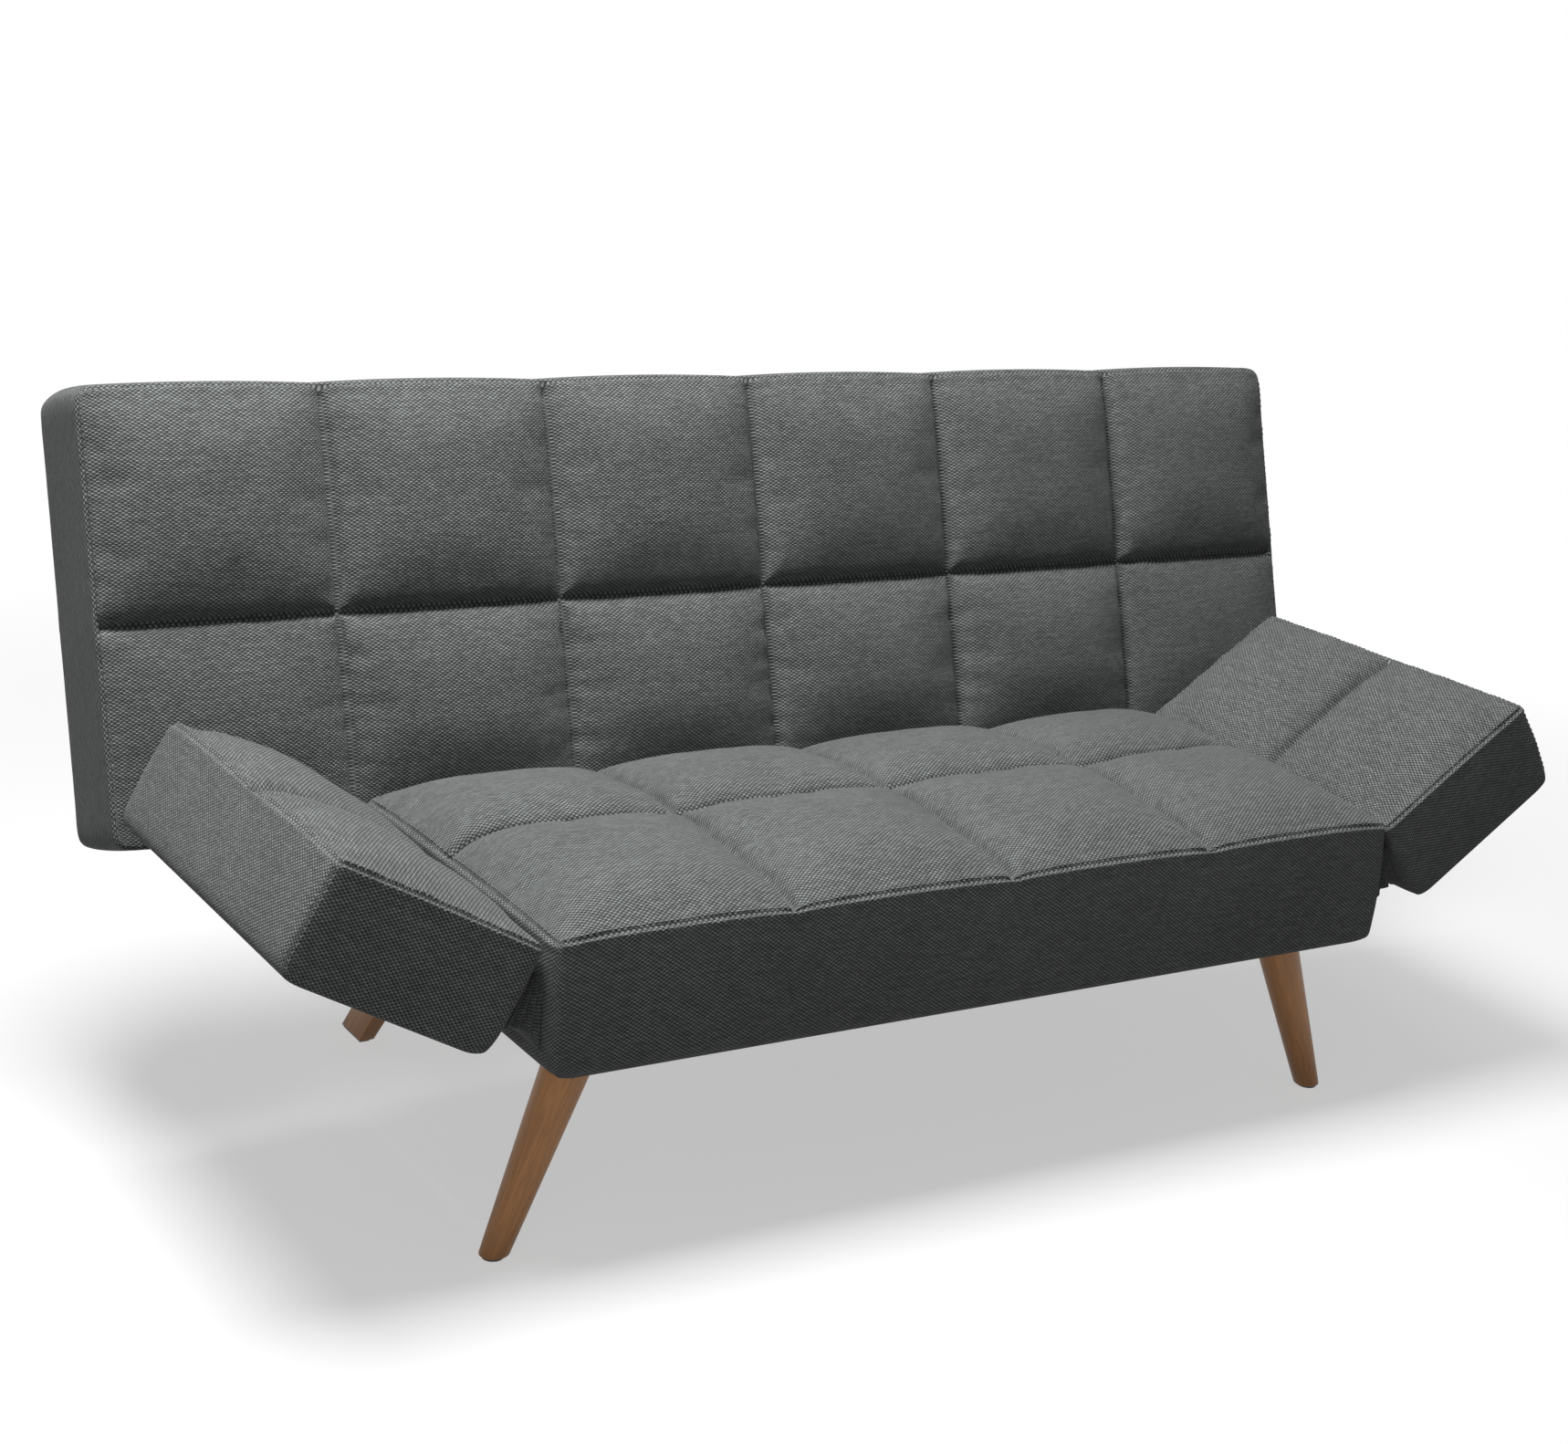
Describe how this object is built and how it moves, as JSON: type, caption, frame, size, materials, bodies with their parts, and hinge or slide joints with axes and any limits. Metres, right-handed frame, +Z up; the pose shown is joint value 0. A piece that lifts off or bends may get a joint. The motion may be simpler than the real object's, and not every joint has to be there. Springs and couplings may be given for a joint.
{
  "type": "click clack sofa bed",
  "caption": "Sofa bed with a wide tufted back that drops flat behind a tufted seat, tilting arm cushions and splayed wooden legs.",
  "frame": {"origin": "on the floor, below the centre of the bounding box of the upright sofa", "axes": "+X to the right of someone looking at the sofa's front, +Y to the rear, +Z up"},
  "size_m": [1.8, 0.8456, 0.8854],
  "materials": {
    "woven_cover": "coarse basket weave, charcoal grey",
    "rear_cloth": "thin plain cloth",
    "dust_cloth": "black non-woven cloth",
    "foam": "open cell foam",
    "felt": "pressed felt",
    "webbing": "elastic webbing",
    "frame_timber": "planed softwood, unfinished",
    "leg_timber": "walnut stain, satin lacquer",
    "black_steel": "black powder coat",
    "plated_steel": "zinc plated",
    "spring_steel": "drawn spring wire",
    "black_plastic": "moulded",
    "rubber": "moulded"
  },
  "bodies": {
    "seat": {"seat_front_rail": "frame_timber", "seat_rear_rail": "frame_timber", "seat_side_rail_left": "frame_timber", "seat_side_rail_right": "frame_timber", "seat_middle_rail": "frame_timber", "seat_leg_boards": "frame_timber", "seat_frame_screws": "plated_steel", "seat_springs": "spring_steel", "seat_spring_clips": "black_plastic", "seat_felt_pad": "felt", "seat_foam": "foam", "seat_cover": "woven_cover", "seat_dust_cloth": "dust_cloth", "base_bearer_left": "leg_timber", "base_bearer_right": "leg_timber", "base_bearer_screws": "plated_steel", "bed_bumpers": "rubber", "front_leg_left": "leg_timber", "front_leg_right": "leg_timber", "rear_leg_left": "leg_timber", "rear_leg_right": "leg_timber", "leg_plates": "black_steel", "leg_plate_screws": "plated_steel", "leg_bolts": "plated_steel", "floor_glides": "black_plastic", "back_hinge_seat_plate_left": "black_steel", "back_hinge_seat_plate_right": "black_steel", "back_hinge_pins": "plated_steel", "back_hinge_seat_bolts": "plated_steel", "arm_hinge_seat_leaves_left": "black_steel", "arm_hinge_seat_leaves_right": "black_steel", "arm_hinge_pins": "plated_steel", "arm_hinge_seat_screws": "plated_steel", "arm_gusset_left": "woven_cover", "arm_gusset_right": "woven_cover"},
    "back": {"back_bottom_rail": "frame_timber", "back_top_rail": "frame_timber", "back_uprights_left": "frame_timber", "back_uprights_right": "frame_timber", "back_frame_screws": "plated_steel", "back_webbing": "webbing", "back_foam": "foam", "back_cover": "woven_cover", "back_rear_cloth": "rear_cloth", "back_hinge_back_plate_left": "black_steel", "back_hinge_back_plate_right": "black_steel", "back_hinge_pawls": "black_steel", "back_hinge_back_bolts": "plated_steel"},
    "left_arm": {"arm_board_left": "frame_timber", "arm_foam_left": "foam", "arm_cover_left": "woven_cover", "arm_base_cloth_left": "rear_cloth", "arm_hinge_arm_leaves_left": "black_steel", "arm_hinge_arm_screws_left": "plated_steel"},
    "right_arm": {"arm_board_right": "frame_timber", "arm_foam_right": "foam", "arm_cover_right": "woven_cover", "arm_base_cloth_right": "rear_cloth", "arm_hinge_arm_leaves_right": "black_steel", "arm_hinge_arm_screws_right": "plated_steel"}
  },
  "joints": [
    {"name": "back_recline", "type": "hinge", "parent": "seat", "child": "back", "pos_m": [0, 0.14065, 0.38], "axis": [-1, 0, 0], "range_deg": [-12, 73.1]},
    {"name": "left_arm_tilt", "type": "hinge", "parent": "seat", "child": "left_arm", "pos_m": [-0.62, 0, 0.392], "axis": [0, 1, 0], "range_deg": [-28.5, 61.5], "deforming": ["arm_gusset_left"]},
    {"name": "right_arm_tilt", "type": "hinge", "parent": "seat", "child": "right_arm", "pos_m": [0.62, 0, 0.392], "axis": [0, -1, 0], "range_deg": [-33.5, 56.5], "deforming": ["arm_gusset_right"]}
  ]
}
